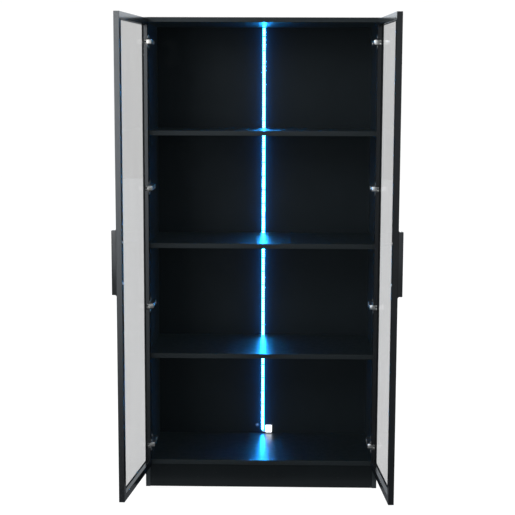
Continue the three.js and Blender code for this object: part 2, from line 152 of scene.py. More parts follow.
def surfaced(tree, shader, colour, grain, rough, relief, strength, depth=0.0001):
    """Gives the shader its colour, a roughness that follows one noise and a fine relief from another."""
    tree.links.new(colour, shader.inputs["Base Color"])
    tree.links.new(spread(tree, grain, *rough), shader.inputs["Roughness"])
    made = node(tree, "ShaderNodeBump", {"Height": relief, "Strength": strength, "Distance": depth})
    tree.links.new(made.outputs["Normal"], shader.inputs["Normal"])


def melamine(name, dark, light, rough, specular, fill=0.0):
    """Fine-grained satin melamine with a slow drift of colour and a few specks of dust.

    The fill stands in for the light that bounces about between the boards.
    """
    material, tree, shader = principled(
        name, Specular_IOR_Level=specular, Specular_Tint=BOARD_TINT,
        Emission_Color=FILL_COLOUR, Emission_Strength=fill)
    colour = tinted(tree, noise(tree, scale=9), dark, light)
    specks = stepped(tree, noise(tree, scale=420, detail=0.5), *DUST_RANGE, 0, DUST_COVER)
    surfaced(tree, shader, colour=mixed(tree, specks, colour, DUST_COLOUR),
             grain=noise(tree, scale=55, detail=4), rough=(rough - 0.04, rough + 0.04),
             relief=noise(tree, scale=1500, detail=3), strength=0.16, depth=0.0002)
    return material


def anodised(name, dark, light, rough):
    """Black anodised aluminium with faint upright drawing lines."""
    material, tree, shader = principled(name, Metallic=0.1, Specular_IOR_Level=0.85)
    lines = noise(tree, scale=1400, stretch=(1, 1, 0.02))
    surfaced(tree, shader, colour=tinted(tree, noise(tree, scale=18), dark, light),
             grain=lines, rough=(rough - 0.05, rough + 0.05), relief=lines, strength=0.08)
    return material


def plated(name, dark, light, rough):
    """Plated steel: soft clouding, and fine press marks."""
    material, tree, shader = principled(name, Metallic=1.0)
    surfaced(tree, shader, colour=tinted(tree, noise(tree, scale=160, detail=3), dark, light),
             grain=noise(tree, scale=700, detail=3), rough=(rough - 0.06, rough + 0.08),
             relief=noise(tree, scale=2600), strength=0.1)
    return material


def rubber(name, dark, light):
    """Matt rubber with a fine grain."""
    material, tree, shader = principled(name, Specular_IOR_Level=0.35)
    surfaced(tree, shader, colour=tinted(tree, noise(tree, scale=90, detail=3), dark, light),
             grain=noise(tree, scale=300), rough=(0.55, 0.7), relief=noise(tree, scale=2400), strength=0.2)
    return material


def moulded(name, dark, light, rough, lit=0.0):
    """Moulded plastic with a fine spark-eroded grain. Where lit is above 0 it has a painted glow, a white
    emission.
    """
    material, tree, shader = principled(name, Emission_Color=(1, 1, 1, 1), Emission_Strength=lit)
    surfaced(tree, shader, colour=tinted(tree, noise(tree, scale=70), dark, light),
             grain=noise(tree, scale=500), rough=(rough - 0.05, rough + 0.05),
             relief=noise(tree, scale=3200), strength=0.2)
    return material


def clear_glass(name, dark, light):
    """Float glass. It greys towards a slanting view, and faint wiping marks cloud it here and there."""
    material, tree, shader = principled(name, Roughness=0.02, Specular_IOR_Level=0.3)
    facing_ratio = node(tree, "ShaderNodeLayerWeight", {"Blend": 0.5}).outputs["Facing"]
    density = stepped(tree, facing_ratio, *GLASS_FACING_RANGE, *GLASS_ALPHA, kind="SMOOTHSTEP")
    wiped = noise(tree, scale=12, detail=3, stretch=(1, 1, 0.3))
    marks = spread(tree, wiped, -GLASS_MARKS, GLASS_MARKS)
    tree.links.new(combined(tree, "ADD", density, marks), shader.inputs["Alpha"])
    tree.links.new(tinted(tree, noise(tree, scale=5), dark, light), shader.inputs["Base Color"])
    return material


def glowing_silicone(name):
    """The tape's lit cover, bright over each chip and dim between chips, at its sides and at cut lines."""
    material, tree, shader = principled(
        name, Base_Color=(0.8, 0.85, 0.88, 1), Roughness=0.4, Emission_Color=STRIP_COLOUR)
    place = node(tree, "ShaderNodeTexCoord").outputs["Object"]
    axes = node(tree, "ShaderNodeSeparateXYZ", {"Vector": place}).outputs
    raised = combined(tree, "SUBTRACT", axes["Z"], strip_low.z)
    sideways = combined(tree, "SUBTRACT", axes["X"], (strip_low.x + strip_high.x) / 2)
    off_middle = combined(tree, "ABSOLUTE", sideways)
    from_cut = combined(tree, "PINGPONG", raised, CUT_PITCH / 2)
    from_gap = combined(tree, "PINGPONG", raised, CHIP_PITCH / 2)
    power = stepped(tree, from_cut, *CUT_FADE, CUT_POWER, STRIP_POWER)
    core = stepped(tree, off_middle, *SIDE_FADE, 1, DIM)
    chip = stepped(tree, from_gap, *CHIP_FADE, DIM, 1)
    shone = combined(tree, "MULTIPLY", power, combined(tree, "MULTIPLY", core, chip))
    tree.links.new(shone, shader.inputs["Emission Strength"])
    return material


BOARD = melamine("board_melamine", dark=(0.006, 0.008, 0.0088), light=(0.008, 0.0104, 0.0112),
                 rough=0.35, specular=0.5, fill=0.0033)
BACK = melamine("back_melamine", dark=(0.0075, 0.0115, 0.014), light=(0.0095, 0.014, 0.017),
                rough=0.42, specular=0.2, fill=0.0012)
# The toe kick's darker colour is painted shade, for the shadow under the bottom board; it is also rougher and less
# glossy.
SHADED_PLINTH = melamine("plinth_melamine_painted_shade", dark=(0.005, 0.0068, 0.0076), light=(0.0066, 0.009, 0.0098),
                  rough=0.42, specular=0.2)
FRAME = anodised("door_frame_anodised", dark=(0.008, 0.0095, 0.011), light=(0.012, 0.014, 0.016), rough=0.18)
PULL = anodised("pull_anodised", dark=(0.022, 0.024, 0.026), light=(0.03, 0.032, 0.035), rough=0.36)
GLASS = clear_glass("pane_glass", dark=(0.03, 0.04, 0.045), light=(0.05, 0.06, 0.065))
RUBBER = rubber("gasket_rubber", dark=(0.008, 0.008, 0.009), light=(0.016, 0.016, 0.017))
GREY_RUBBER = rubber("grommet_rubber", dark=(0.11, 0.12, 0.13), light=(0.15, 0.16, 0.17))
NICKEL = plated("hinge_nickel", dark=(0.62, 0.61, 0.58), light=(0.78, 0.77, 0.74), rough=0.3)
# The cup's nickel is the hinge nickel darkened: painted shade, so the cups and their lugs look dim.
SHADED_CUP_NICKEL = plated("cup_nickel_painted_shade", dark=(0.2, 0.2, 0.2), light=(0.28, 0.28, 0.28), rough=0.35)
ZINC = plated("screw_zinc", dark=(0.5, 0.5, 0.49), light=(0.66, 0.66, 0.64), rough=0.32)
LEAD_PLASTIC = moulded("lead_plastic", dark=(0.78, 0.78, 0.76), light=(0.86, 0.86, 0.84), rough=0.4)
# The connector's plastic has a painted glow, a white emission of its own.
GLOW_PAINTED_PLASTIC = moulded("connector_plastic_painted_glow", dark=(0.78, 0.78, 0.76), light=(0.86, 0.86, 0.84), rough=0.4,
                      lit=CONNECTOR_PAINTED_GLOW)
WHITE_TAPE = moulded("tape_white", dark=(0.76, 0.77, 0.77), light=(0.84, 0.85, 0.85), rough=0.45)
COPPER = plated("tape_copper", dark=(0.75, 0.36, 0.2), light=(0.85, 0.45, 0.26), rough=0.35)
GLOW = glowing_silicone("tape_glow")

# The CAD nodes' materials, by slot, and two nodes that differ from the rest of their slot. The toe kick's is
# darkened as painted shade.
BY_SLOT = {
    "board": BOARD, "back_board": BACK, "door_frame": FRAME, "pull": PULL, "glass": GLASS, "gasket": RUBBER,
    "nickel": NICKEL, "screw": ZINC, "light_strip": GLOW, "connector": LEAD_PLASTIC,
}
BY_NODE = {"toe_kick": SHADED_PLINTH, "cable_grommet": GREY_RUBBER}
for part in frame["record"]["subparts"]:
    mesh = frame["nodes"][part["node"]].data
    mesh.materials.clear()
    mesh.materials.append(BY_NODE.get(part["node"], BY_SLOT[part["material_slot"]]))


# ------------------------------------------------------------- mesh helpers

SMOOTH_ANGLE = math.radians(35)
FLAT_ANGLE = math.radians(1)


def local_mesh(bm):
    """A mesh datablock from a bmesh, with smooth faces and sharp edges by angle."""
    bmesh.ops.recalc_face_normals(bm, faces=bm.faces)
    mesh = bpy.data.meshes.new("shape")
    bm.to_mesh(mesh)
    bm.free()
    mesh.shade_smooth()
    mesh.set_sharp_from_angle(angle=SMOOTH_ANGLE)
    return mesh


def piece(name, mesh, matrix, materials, body, slot, *replaced):
    """Puts a copy of a mesh in its place, on its body, instead of the CAD nodes that it replaces."""
    placed = mesh.copy()
    placed.transform(matrix)
    if matrix.determinant() < 0:
        placed.flip_normals()
    placed.materials.clear()
    for material in materials:
        placed.materials.append(material)
    placed.name = name
    made = bpy.data.objects.new(name, placed)
    bpy.context.scene.collection.objects.link(made)
    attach(made, body)
    if replaced:
        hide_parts(*replaced)


def prism(bm, points, low, high, axes=(0, 1, 2)):
    """Extrudes a closed outline from low to high. axes says which axis each of u, v and the extrusion is."""
    def at(u, v, w):
        place = [0, 0, 0]
        for axis, value in zip(axes, (u, v, w)):
            place[axis] = value
        return bm.verts.new(place)
    rings = [[at(u, v, w) for u, v in points] for w in (low, high)]
    faces = [bm.faces.new(rings[0]), bm.faces.new(rings[1][::-1])]
    for i in range(len(points)):
        j = (i + 1) % len(points)
        faces.append(bm.faces.new((rings[0][i], rings[1][i], rings[1][j], rings[0][j])))
    return faces


def block(bm, low, high):
    (x0, y0, z0), (x1, y1, z1) = low, high
    return prism(bm, [(x0, y0), (x1, y0), (x1, y1), (x0, y1)], z0, z1)


def block_mesh(low, high):
    bm = bmesh.new()
    block(bm, low, high)
    return local_mesh(bm)


def turns(count, start=0.0, stop=2 * math.pi):
    """count + 1 angles from start to stop."""
    return [start + (stop - start) * i / count for i in range(count + 1)]


def cylinder(bm, radius, low, high, centre=(0, 0), sides=32):
    points = [(centre[0] + radius * math.cos(t), centre[1] + radius * math.sin(t))
              for t in turns(sides)[:-1]]
    return prism(bm, points, low, high)


def bevel(bm, edges, width, segments=2):
    bmesh.ops.bevel(bm, geom=list(edges), offset=width, segments=segments, profile=0.5,
                    affect="EDGES", clamp_overlap=True)


def sharp_edges(bm, degrees=30):
    bmesh.ops.recalc_face_normals(bm, faces=bm.faces)
    return [e for e in bm.edges if len(e.link_faces) == 2 and e.calc_face_angle(0) > math.radians(degrees)]


def level(edge, tolerance):
    """Whether an edge lies across z, as the edges of a vertical prism's ends do."""
    return abs(edge.verts[0].co.z - edge.verts[1].co.z) < tolerance


def carved(mesh, cutters):
    """The mesh less the cutters, by exact boolean."""
    host = bpy.data.objects.new("host", mesh)
    bpy.context.scene.collection.objects.link(host)
    tools = []
    for cutter in cutters:
        tool = bpy.data.objects.new("tool", cutter)
        bpy.context.scene.collection.objects.link(tool)
        step = host.modifiers.new("cut", "BOOLEAN")
        step.object = tool
        step.operation = "DIFFERENCE"
        step.solver = "EXACT"
        tools.append(tool)
    shape = bpy.data.meshes.new_from_object(host.evaluated_get(bpy.context.evaluated_depsgraph_get()))
    for used in (host, *tools):
        bpy.data.objects.remove(used)
    return shape


def softened(mesh, width):
    """The mesh with its flat faces merged and its sharp edges rounded."""
    bm = bmesh.new()
    bm.from_mesh(mesh)
    bmesh.ops.dissolve_limit(bm, angle_limit=FLAT_ANGLE, verts=bm.verts, edges=bm.edges)
    bevel(bm, sharp_edges(bm), width)
    return local_mesh(bm)


# A screw head's profile and its cross recess, in head radii and head heights.
HEAD_PROFILE = ((1, 0), (1, 0.45), (0.93, 0.75), (0.78, 1))
HEAD_SIDES = 32
CROSS_ARM = 0.62
CROSS_HALF = 0.15
CROSS_TAPER = 0.7
CROSS_FLOOR = 0.2


def screw_head(bm, place, radius, height):
    """A domed head with a cross recess. It stands on the plane w = 0 and points along +w; place moves it."""
    def ring(points, w):
        return [bm.verts.new(place @ Vector((u, v, w))) for u, v in points]
    arm, half = CROSS_ARM * radius, CROSS_HALF * radius
    cross = [(arm, -half), (arm, half), (half, half), (half, arm), (-half, arm), (-half, half),
             (-arm, half), (-arm, -half), (-half, -half), (-half, -arm), (half, -arm), (half, -half)]
    rings = []
    for across, up in HEAD_PROFILE:
        r = across * radius
        rings.append(ring([(r * math.cos(t), r * math.sin(t)) for t in turns(HEAD_SIDES)[:-1]], up * height))
    bm.faces.new(rings[0][::-1])
    for a, b in zip(rings, rings[1:]):
        for i in range(HEAD_SIDES):
            j = (i + 1) % HEAD_SIDES
            bm.faces.new((a[i], a[j], b[j], b[i]))
    mouth = ring(cross, height)
    floor = ring([(CROSS_TAPER * u, CROSS_TAPER * v) for u, v in cross], CROSS_FLOOR * height)
    edges = []
    for loop in (rings[-1], mouth):
        for i, vert in enumerate(loop):
            after = loop[(i + 1) % len(loop)]
            edges.append(bm.edges.get((vert, after)) or bm.edges.new((vert, after)))
    bmesh.ops.triangle_fill(bm, edges=edges, use_beauty=True)
    for i in range(len(cross)):
        j = (i + 1) % len(cross)
        bm.faces.new((mouth[i], mouth[j], floor[j], floor[i]))
    bm.faces.new(floor)


def screws_mesh(places, radius, height):
    bm = bmesh.new()
    for place in places:
        screw_head(bm, place, radius, height)
    return local_mesh(bm)


def facing(direction, at, spin):
    """A frame whose w axis points along direction, turned by spin degrees about it, at a point."""
    turn = Vector(direction).to_track_quat("Z", "Y").to_matrix().to_4x4()
    return Matrix.Translation(at) @ turn @ Matrix.Rotation(math.radians(spin), 4, "Z")


# ------------------------------------------------------------------- hinges
# Carcass pieces, in mm: u runs into the cabinet from the side panel's inner face, v back from the front
# plane, w up from the hinge's middle. Door pieces have the pivot as their origin, with the door shut.

PIVOT_U = (hinges["left"]["pos_m"][0] - inside_x["left"]) / MM
PIVOT_V = (hinges["left"]["pos_m"][1] - front_y) / MM
GAP = 0.3
CUT_CLEAR = 1           # how far a cutting block stands out of what it cuts

# The arm's sides in u are ARM_NEAR and ARM_FAR, and it ends in v at ARM_LONG. BAND is in v and LEG_FROM in u,
# both from the pivot. BEND, NOSE, TAIL and HEEL are the arm's cut corners.
ARM_HALF = 7.5
ARM_FAR = 17.5
ARM_NEAR = 2.8
ARM_LONG = (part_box("hinge_arm_left_top")[1].y - front_y) / MM
ARM_EDGE = 0.45
BAND = (1.1, 4.1)
BEND = (2.2, 0.7)
NOSE = {"deep": 4, "long": 3}
TAIL = 1
HEEL = {"deep": 2, "from": 1, "to": 3}
LEG_FROM = 14.3
# Each recess in the arm's channel: where along the arm, half its width, and its depth.
ARM_RECESSES = (((18, 34), 4.2, 3), ((42, ARM_LONG - 8), 4.2, 3), ((28, ARM_LONG - 14), 2.4, 8))
ARM_SCREWS_AT = ((26, 20), (ARM_LONG - 15, 65))     # along the arm, and the turn of the cross in degrees
ARM_SCREW_BED = ARM_FAR - 3
ARM_SCREW = {"radius": 3.6, "height": 2.6}

# Each ear runs from EAR_FROM off the middle to the arm's edge. BAND_GAP is cut out of the band between them.
KNUCKLE_R = 3.2
KNUCKLE_EDGE = 0.3
EAR_FROM = 2.1
BAND_GAP = {"half": 2, "to": 3.8, "reach": 8}

# The plate's body and wings: where each runs along v, and half its width.
PLATE_THICK = 2.2
PLATE_V = (20, ARM_LONG - 8)
PLATE_WING_V = (29, 45)
PLATE_HALF = {"body": 8, "wing": 25}
PLATE_CORNER = {"width": 3, "segments": 4}
PLATE_EDGE = 0.35
PLATE_SCREW_V = 37
PLATE_SCREW = {"off": 17, "spin": 33, "radius": 4.2, "height": 1.8}

# The cup, from the pivot with the door shut: x is across the door, y back towards its inner face, z up.
# A lug's end is half an ellipse, LUG_HALF by LUG_ROUND, beyond LUG_STRAIGHT in z.
INNER_FACE = 11.3
CUP_X = (-6.4, 7.6)
CUP_FLOOR = -4.5
CUP_TOP = INNER_FACE + 1.2
CUP_HALF = 8.8
CUP_WALL = 0.8
CUP_EDGE = 0.2
LUG_MIDDLE = 3.5
LUG_HALF = 8
LUG_STRAIGHT = 17
LUG_ROUND = 4.8
LUG_STEPS = 12
LUG_Y = (INNER_FACE + GAP, INNER_FACE + 1.5)
PIN = {"radius": 1.5, "end_gap": 0.1, "sides": 20}
CUP_SCREW_X = 4
CUP_SCREW = {"off": 15.6, "spin": 12, "radius": 2.8, "height": 1.1}


def mirror(side):
    return Matrix.Diagonal((MM if side == "left" else -MM, MM, MM, 1))


def carcass_place(side, z):
    return Matrix.Translation((inside_x[side], front_y, z)) @ mirror(side)


def door_place(side, z):
    joint = hinges[side]
    rest = -math.radians(joint["range_deg"][0]) * joint["axis"][2]
    x, y, _ = joint["pos_m"]
    return Matrix.Translation((x, y, z)) @ Matrix.Rotation(rest, 4, "Z") @ mirror(side)


def arm_mesh():
    """The pressed arm: a band from the knuckle, a leg past the door's edge, and a channel along the panel."""
    u, v = PIVOT_U, PIVOT_V
    bm = bmesh.new()
    prism(bm, [
        (u, v + BAND[0]), (ARM_FAR - BEND[0], v + BAND[0]), (ARM_FAR - BEND[1], v + BAND[0] + BEND[1]),
        (ARM_FAR, v + BAND[0] + BEND[0]), (ARM_FAR, ARM_LONG - NOSE["long"]),
        (ARM_FAR - NOSE["deep"], ARM_LONG), (ARM_NEAR + TAIL, ARM_LONG), (ARM_NEAR, ARM_LONG - TAIL),
        (ARM_NEAR, HEEL["to"]), (ARM_NEAR + HEEL["deep"], HEEL["from"]),
        (u + LEG_FROM, HEEL["from"]), (u + LEG_FROM, v + BAND[1]), (u, v + BAND[1]),
    ], -ARM_HALF, ARM_HALF)
    tools = [block_mesh((ARM_FAR - deep, v0, -half), (ARM_FAR + CUT_CLEAR, v1, half))
             for (v0, v1), half, deep in ARM_RECESSES]
    half, reach = BAND_GAP["half"], BAND_GAP["reach"]
    tools.append(block_mesh((u - reach, v - reach, -half), (u + BAND_GAP["to"], v + reach, half)))
    return softened(carved(local_mesh(bm), tools), ARM_EDGE)


def knuckle_mesh():
    """Two rolled ears round the pin, one at each edge of the band."""
    bm = bmesh.new()
    for low, high in ((-ARM_HALF, -EAR_FROM), (EAR_FROM, ARM_HALF)):
        cylinder(bm, KNUCKLE_R, low, high, (PIVOT_U, PIVOT_V))
    bevel(bm, sharp_edges(bm, degrees=60), KNUCKLE_EDGE)
    return local_mesh(bm)


def plate_mesh():
    """The cross-shaped mounting plate."""
    bm = bmesh.new()
    body, wing = PLATE_HALF["body"], PLATE_HALF["wing"]
    (v0, v1), (a, b) = PLATE_V, PLATE_WING_V
    faces = prism(bm, [
        (v0, -body), (a, -body), (a, -wing), (b, -wing), (b, -body), (v1, -body),
        (v1, body), (b, body), (b, wing), (a, wing), (a, body), (v0, body),
    ], GAP, GAP + PLATE_THICK, (1, 2, 0))
    through = [e for f in faces[2:] for e in f.edges
               if abs(e.verts[0].co.x - e.verts[1].co.x) > PLATE_THICK / 2]
    bevel(bm, set(through), **PLATE_CORNER)
    bevel(bm, sharp_edges(bm, degrees=50), PLATE_EDGE)
    return local_mesh(bm)


def cup_mesh():
    """The cup in the stile: floor, end walls, pin and two lugs with round ends."""
    (x0, x1), wall_from = CUP_X, CUP_FLOOR + CUP_WALL
    left, right = LUG_MIDDLE - LUG_HALF, LUG_MIDDLE + LUG_HALF
    bm = bmesh.new()
    block(bm, (x0, CUP_FLOOR, -CUP_HALF), (x1, wall_from, CUP_HALF))
    for side in (-1, 1):
        inner, straight = side * (CUP_HALF - CUP_WALL), side * LUG_STRAIGHT
        z0, z1 = sorted((side * CUP_HALF, inner))
        block(bm, (x0, wall_from, z0), (x1, CUP_TOP, z1))
        end = [(LUG_MIDDLE + LUG_HALF * math.cos(t), straight + side * LUG_ROUND * math.sin(t))
               for t in turns(LUG_STEPS, math.pi, 0)[1:-1]]
        outline = [(left, inner), (left, straight), *end, (right, straight), (right, inner)]
        prism(bm, outline, *LUG_Y, (0, 2, 1))
    bevel(bm, sharp_edges(bm, degrees=50), CUP_EDGE, 1)
    pin_end = CUP_HALF - PIN["end_gap"]
    cylinder(bm, PIN["radius"], -pin_end, pin_end, sides=PIN["sides"])
    return local_mesh(bm)


def screw_pair(direction, x, y, off, spin, radius, height):
    """Two screws in one mesh, one as far below the middle as the other is above it."""
    return screws_mesh([facing(direction, (x, y, z), spin) for z in (-off, off)], radius, height)


ARM, KNUCKLE, PLATE, CUP = arm_mesh(), knuckle_mesh(), plate_mesh(), cup_mesh()
ARM_SCREWS = screws_mesh(
    [facing((1, 0, 0), (ARM_SCREW_BED, v, 0), spin) for v, spin in ARM_SCREWS_AT], **ARM_SCREW)
PLATE_SCREWS = screw_pair((1, 0, 0), GAP + PLATE_THICK, PLATE_SCREW_V, **PLATE_SCREW)
CUP_SCREWS = screw_pair((0, 1, 0), CUP_SCREW_X, LUG_Y[1], **CUP_SCREW)

for side in SIDES:
    for place in PLACES:
        low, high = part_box(f"hinge_arm_{side}_{place}")
        z = (low.z + high.z) / 2
        here, door = carcass_place(side, z), door_place(side, z)
        name, body = f"hinge_{side}_{place}", f"{side}_door"
        piece(f"{name}_arm", ARM, here, [NICKEL], "carcass", "nickel", f"hinge_arm_{side}_{place}")
        piece(f"{name}_knuckle", KNUCKLE, here, [NICKEL], "carcass", "nickel")
        piece(f"{name}_arm_screws", ARM_SCREWS, here, [ZINC], "carcass", "screw")
        piece(f"{name}_plate", PLATE, here, [NICKEL], "carcass", "nickel", f"hinge_plate_{side}_{place}")
        piece(f"{name}_plate_screws", PLATE_SCREWS, here, [ZINC], "carcass", "screw")
        piece(f"{name}_cup", CUP, door, [SHADED_CUP_NICKEL], body, "nickel", f"{side}_hinge_cup_{place}")
        piece(f"{name}_cup_screws", CUP_SCREWS, door, [ZINC], body, "screw")


# -------------------------------------------------------------------- pulls
# In mm, from the pivot with the door shut: a section of a by b, where a runs in from the door's free edge and
# b out from its outer face, drawn up the door.

DOOR_THICK = 18
OUTER_FACE = INNER_FACE - DOOR_THICK
PULL_WIDE = 24
PULL_PROUD = 14.5
PULL_BASE = 3
PULL_LIP = 4.5
PULL_CORE = 13
ARC_STEPS = 5
PULL_ROUND = {"back": 1.5, "lip": 1.8, "groove": 2, "base": 0.8}
PULL_END_EDGE = 0.5
PULL_FOOT = 3
PULL_FOOT_EDGE = 0.6
FOOT_OVERLAP = 0.6
FOOT_STEPS = 8
PULL_SCREW_INSET = 7
PULL_SCREW = {"off": 64, "spin": 40, "radius": 4, "height": 1.8}
door_middle_z = sum(c.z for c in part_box("left_stile_free")) / 2


def free_edge(side):
    """How far the free edge of the shut door is from its pivot, in mm."""
    back = door_place(side, 0).inverted()
    return max((back @ v.co).x for v in frame["nodes"][f"{side}_stile_free"].data.vertices)


def arc(centre, radius, start, stop):
    """Points on an arc, from one angle to another in degrees."""
    return [(centre[0] + radius * math.cos(t), centre[1] + radius * math.sin(t))
            for t in turns(ARC_STEPS, math.radians(start), math.radians(stop))]


def pull_section():
    """The grip's section. Its finger groove is on the hinge side, behind a rounded lip."""
    back, tip, groove, base = (PULL_ROUND[k] for k in ("back", "lip", "groove", "base"))
    lip = PULL_PROUD - PULL_LIP
    return [
        (0, 0), *arc((back, PULL_PROUD - back), back, 180, 90),
        *arc((PULL_WIDE - tip, PULL_PROUD - tip), tip, 90, 0),
        *arc((PULL_WIDE - tip, lip + tip), tip, 0, -90),
        *arc((PULL_CORE + groove, lip - groove), groove, 90, 180),
        *arc((PULL_CORE + groove, PULL_BASE + groove), groove, 180, 270),
        *arc((PULL_WIDE - base, PULL_BASE - base), base, 90, 0), (PULL_WIDE, 0),
    ]


def pull_mesh(edge, half_long):
    """The extruded grip, with a small hollow-cornered foot at each end."""
    outer = OUTER_FACE - GAP
    bm = bmesh.new()
    prism(bm, [(edge - a, outer - b) for a, b in pull_section()], -half_long, half_long)
    bevel(bm, [e for e in sharp_edges(bm, degrees=60) if level(e, tolerance=0.01)], PULL_END_EDGE)
    rise, radius = outer - PULL_FOOT, PULL_FOOT - PULL_FOOT_EDGE
    for out in (-1, 1):
        end, tip = out * (half_long - FOOT_OVERLAP), out * (half_long + PULL_FOOT)
        curve = [(rise + radius * math.cos(t), tip - out * radius * math.sin(t))
                 for t in turns(FOOT_STEPS, 0, math.pi / 2)]
        prism(bm, [(outer, end), (outer, tip), *curve, (rise, end)], edge - PULL_WIDE, edge, (1, 2, 0))
    return local_mesh(bm)


for side in SIDES:
    low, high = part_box(f"{side}_pull")
    edge = free_edge(side)
    place, body = door_place(side, door_middle_z), f"{side}_door"
    grip = pull_mesh(edge, (high.z - low.z) / 2 / MM - PULL_FOOT)
    screws = screw_pair((0, 1, 0), edge - PULL_SCREW_INSET, INNER_FACE + GAP, **PULL_SCREW)
    piece(f"{side}_grip", grip, place, [PULL], body, "pull", f"{side}_pull")
    piece(f"{side}_grip_screws", screws, place, [ZINC], body, "screw",
          f"{side}_pull_screw_lower", f"{side}_pull_screw_upper")


# -------------------------------------------------------------- light strip
# In metres, in the frame's own place. COVER_SHOULDER, SEAM_AT and NOTCHES_AT are shares of a whole.

TAPE_THICK = 0.0004
COVER_EDGE = 0.0008
COVER_END = 0.002
COVER_SHOULDER = 0.45
COVER_STEPS = 12
COVER_END_ROUND = 0.0003

# A copper pad's middle is this far off the tape's middle and off the cut line. A pad is left out where its
# middle would be nearer than PAD_KEEP to an end of the tape.
PAD_OFF = {"middle": 0.0047, "cut": 0.0012}
PAD_HALF = {"wide": 0.0002, "long": 0.0008}
PAD_PROUD = 0.0001
PAD_KEEP = 0.001

RIBBON_CORES = 4
RIBBON_BEND_R = 0.0012
RIBBON_STEPS = 10
CORE_FILL = 0.98
CORE_SIDES = 12

SEAM_AT = 0.45
SEAM = 0.0002
LID_INSET = 0.0006
CLIP_ROUND = {"width": 0.0011, "segments": 3}
NOTCHES_AT = (0.3, 0.5, 0.7)
NOTCH_HALF = 0.0007
NOTCH_DEEP = 0.0006
NOTCH_Z = (0.005, 0.012)
NOTCH_CLEAR = 0.001     # how far the block that cuts a notch stands out of the lid

strip_x = (strip_low.x + strip_high.x) / 2
tape_y = strip_high.y - TAPE_THICK


def cover_mesh():
    """The silicone cover, a low dome in section, along the whole tape."""
    half = (strip_high.x - strip_low.x) / 2 - COVER_EDGE
    rise = tape_y - strip_low.y
    shoulder = COVER_SHOULDER * rise
    dome = [(half * math.cos(t), tape_y - shoulder - (rise - shoulder) * math.sin(t))
            for t in turns(COVER_STEPS, math.pi, 0)[1:-1]]
    points = [(-half, tape_y), (-half, tape_y - shoulder), *dome, (half, tape_y - shoulder), (half, tape_y)]
    bm = bmesh.new()
    prism(bm, [(strip_x + u, v) for u, v in points], strip_low.z + COVER_END, strip_high.z - COVER_END)
    bevel(bm, [e for e in sharp_edges(bm, degrees=60) if level(e, tolerance=1e-5)], COVER_END_ROUND)
    return local_mesh(bm)


def tape_mesh():
    """The white tape, with a pair of copper pads each side of every cut line."""
    bm = bmesh.new()
    block(bm, (strip_low.x, tape_y, strip_low.z), (strip_high.x, strip_high.y, strip_high.z))
    pads = []
    cuts = int((strip_high.z - strip_low.z) / CUT_PITCH) + 1
    for z in [strip_low.z + i * CUT_PITCH + side * PAD_OFF["cut"] for i in range(cuts) for side in (-1, 1)]:
        if strip_low.z < z - PAD_KEEP and z + PAD_KEEP < strip_high.z:
            for x in (strip_x - PAD_OFF["middle"], strip_x + PAD_OFF["middle"]):
                pads += block(bm, (x - PAD_HALF["wide"], tape_y - PAD_PROUD, z - PAD_HALF["long"]),
                              (x + PAD_HALF["wide"], tape_y + PAD_PROUD, z + PAD_HALF["long"]))
    for face in pads:
        face.material_index = 1
    return local_mesh(bm)


def tube(bm, path, radius):
    """A closed round tube along a path that lies in an XZ plane."""
    sideways = Vector((0, 1, 0))
    rings = []
    for i, point in enumerate(path):
        along = (path[min(i + 1, len(path) - 1)] - path[max(i - 1, 0)]).normalized()
        across = along.cross(sideways).normalized()
        rings.append([bm.verts.new(point + radius * (across * math.cos(t) + sideways * math.sin(t)))
                      for t in turns(CORE_SIDES)[:-1]])
    for a, b in zip(rings, rings[1:]):
        for k in range(CORE_SIDES):
            j = (k + 1) % CORE_SIDES
            bm.faces.new((a[k], a[j], b[j], b[k]))
    bm.faces.new(rings[0][::-1])
    bm.faces.new(rings[-1])


def ribbon_mesh():
    """Round cores side by side, down from the tape and round into the connector."""
    low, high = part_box("led_lead")
    wide = 2 * (strip_x - low.x)
    radius = wide / 2 / RIBBON_CORES
    y = (low.y + high.y) / 2
    corner_x, corner_z = strip_x + wide / 2 + RIBBON_BEND_R, low.z + wide + RIBBON_BEND_R
    bm = bmesh.new()
    for core in range(RIBBON_CORES):
        x = strip_x - wide / 2 + radius * (2 * core + 1)
        bend = corner_x - x
        path = [Vector((x, y, high.z)), Vector((x, y, corner_z))]
        path += [Vector((corner_x - bend * math.cos(t), y, corner_z - bend * math.sin(t)))
                 for t in turns(RIBBON_STEPS, 0, math.pi / 2)[1:]]
        path.append(Vector((high.x, y, corner_z - bend)))
        tube(bm, path, radius * CORE_FILL)
    return local_mesh(bm)


def connector_mesh():
    """The clip connector: a base, a lid with thumb notches, and a seam between them."""
    (x0, y0, z0), (x1, y1, z1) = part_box("led_connector")
    seam = y0 + SEAM_AT * (y1 - y0)
    bm = bmesh.new()
    block(bm, (x0, seam + SEAM, z0), (x1, y1, z1))
    block(bm, (x0 + LID_INSET, y0, z0 + LID_INSET), (x1 - LID_INSET, seam, z1 - LID_INSET))
    bevel(bm, sharp_edges(bm, degrees=60), **CLIP_ROUND)
    middles = [x0 + share * (x1 - x0) for share in NOTCHES_AT]
    notches = [block_mesh((x - NOTCH_HALF, y0 - NOTCH_CLEAR, z0 + NOTCH_Z[0]),
                          (x + NOTCH_HALF, y0 + NOTCH_DEEP, z0 + NOTCH_Z[1])) for x in middles]
    return carved(local_mesh(bm), notches)


IN_PLACE = Matrix.Identity(4)
piece("led_cover", cover_mesh(), IN_PLACE, [GLOW], "carcass", "light_strip", "led_strip")
piece("led_tape", tape_mesh(), IN_PLACE, [WHITE_TAPE, COPPER], "carcass", "light_strip")
piece("led_ribbon", ribbon_mesh(), IN_PLACE, [LEAD_PLASTIC], "carcass", "connector", "led_lead")
piece("led_clip", connector_mesh(), IN_PLACE, [GLOW_PAINTED_PLASTIC], "carcass", "connector", "led_connector")


# ------------------------------------------------------------------- studio

